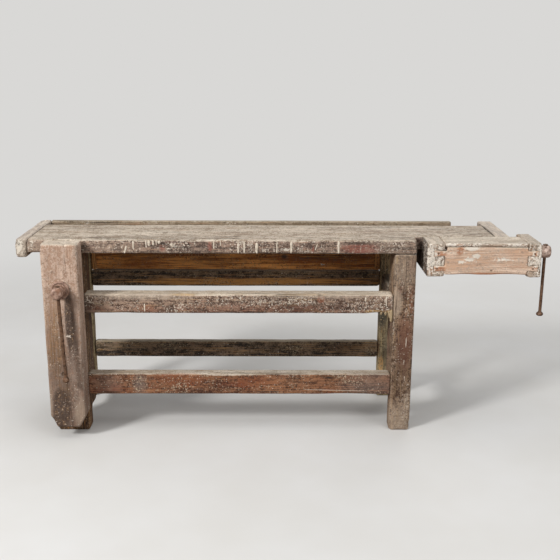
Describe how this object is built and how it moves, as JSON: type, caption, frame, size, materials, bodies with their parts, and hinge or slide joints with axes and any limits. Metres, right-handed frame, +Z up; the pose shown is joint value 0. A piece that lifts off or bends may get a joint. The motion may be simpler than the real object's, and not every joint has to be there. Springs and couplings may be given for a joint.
{
  "type": "woodworking bench",
  "caption": "Old joiner's bench: thick plank top with end caps and a rear tool tray, legs tied by rails, a leg vise and a dovetailed tail vise turned by iron screws.",
  "frame": {"origin": "on the floor, below the middle of the bench's box", "axes": "+X along the bench to the right, towards the tail vise; +Y from the front to the back; +Z up"},
  "size_m": [2.0936, 0.5686, 0.8],
  "materials": {
    "worn_top": "bare weathered beech, scrubbed pale and dull",
    "painted_beech": "old worn paint over beech, mottled with splashes and drips",
    "red_beech": "old red-brown painted beech, rubbed through at the edges",
    "dark_beech": "dark aged beech, dusty and dull",
    "pale_beech": "pale pinkish beech, smeared with plaster",
    "raw_pine": "bare aged pine, dull orange brown",
    "rusty_iron": "forged iron with brown rust, satin where hands rub it"
  },
  "bodies": {
    "bench": {"top_plank": "worn_top", "left_end_cap": "painted_beech", "right_end_cap": "painted_beech", "tray_bottom": "dark_beech", "tray_back": "worn_top", "front_left_leg": "red_beech", "front_right_leg": "red_beech", "rear_left_leg": "dark_beech", "rear_right_leg": "dark_beech", "front_upper_rail": "painted_beech", "front_lower_rail": "red_beech", "rear_upper_rail": "dark_beech", "rear_lower_rail": "dark_beech", "left_upper_side_rail": "dark_beech", "right_upper_side_rail": "dark_beech", "left_lower_side_rail": "dark_beech", "right_lower_side_rail": "dark_beech", "left_top_bearer": "dark_beech", "right_top_bearer": "dark_beech", "rear_apron": "raw_pine", "left_apron_cleat": "raw_pine", "right_apron_cleat": "raw_pine", "leg_nut": "rusty_iron", "leg_nut_bolt_1": "rusty_iron", "leg_nut_bolt_2": "rusty_iron", "leg_nut_bolt_3": "rusty_iron", "leg_nut_bolt_4": "rusty_iron", "tail_nut": "rusty_iron", "tail_nut_bolt_1": "rusty_iron", "tail_nut_bolt_2": "rusty_iron", "inner_guide_keeper": "red_beech", "outer_guide_keeper": "red_beech"},
    "leg_chop": {"chop": "pale_beech", "parallel_guide": "red_beech", "guide_peg": "pale_beech", "guide_stop_pin": "rusty_iron", "leg_rosette": "rusty_iron", "leg_garter": "rusty_iron", "leg_garter_screw_1": "rusty_iron", "leg_garter_screw_2": "rusty_iron"},
    "leg_screw": {"leg_screw": "rusty_iron"},
    "leg_bar": {"leg_bar": "rusty_iron", "leg_bar_head": "rusty_iron"},
    "tail_vise": {"vise_jaw_block": "pale_beech", "vise_jaw_tongue": "red_beech", "vise_front_board": "pale_beech", "vise_top_board": "worn_top", "vise_end_block": "pale_beech", "dovetail_nail_1": "rusty_iron", "dovetail_nail_2": "rusty_iron", "dovetail_nail_3": "rusty_iron", "dovetail_nail_4": "rusty_iron", "vise_guide_bar": "red_beech", "tail_rosette": "rusty_iron", "tail_garter": "rusty_iron", "tail_garter_screw_1": "rusty_iron", "tail_garter_screw_2": "rusty_iron"},
    "tail_screw": {"tail_screw": "rusty_iron"},
    "tail_bar": {"tail_bar": "rusty_iron", "tail_bar_head": "rusty_iron"}
  },
  "joints": [
    {"name": "leg_chop_slide", "type": "slide", "parent": "bench", "child": "leg_chop", "axis": [0, -1, 0], "range_m": [-0.0001, 0.1501]},
    {"name": "leg_screw_turn", "type": "hinge", "parent": "leg_chop", "child": "leg_screw", "pos_m": [-0.8578, -0.2583, 0.622], "axis": [0, -1, 0], "range_deg": [0, 5400]},
    {"name": "leg_bar_slide", "type": "slide", "parent": "leg_screw", "child": "leg_bar", "axis": [-0.0332, 0, 0.9995], "range_m": [0, 0.31]},
    {"name": "tail_vise_slide", "type": "slide", "parent": "bench", "child": "tail_vise", "axis": [1, 0, 0], "range_m": [-0.0281, 0.1301]},
    {"name": "tail_screw_turn", "type": "hinge", "parent": "tail_vise", "child": "tail_screw", "pos_m": [1.0263, -0.1067, 0.754], "axis": [1, 0, 0], "range_deg": [-1008, 4680]},
    {"name": "tail_bar_slide", "type": "slide", "parent": "tail_screw", "child": "tail_bar", "axis": [0, 0, 1], "range_m": [0, 0.22]}
  ],
  "couplings": [
    {"joint": "leg_chop_slide", "follows": "leg_screw_turn", "m_per_rad": 0.0015915},
    {"joint": "tail_vise_slide", "follows": "tail_screw_turn", "m_per_rad": 0.0015915}
  ]
}
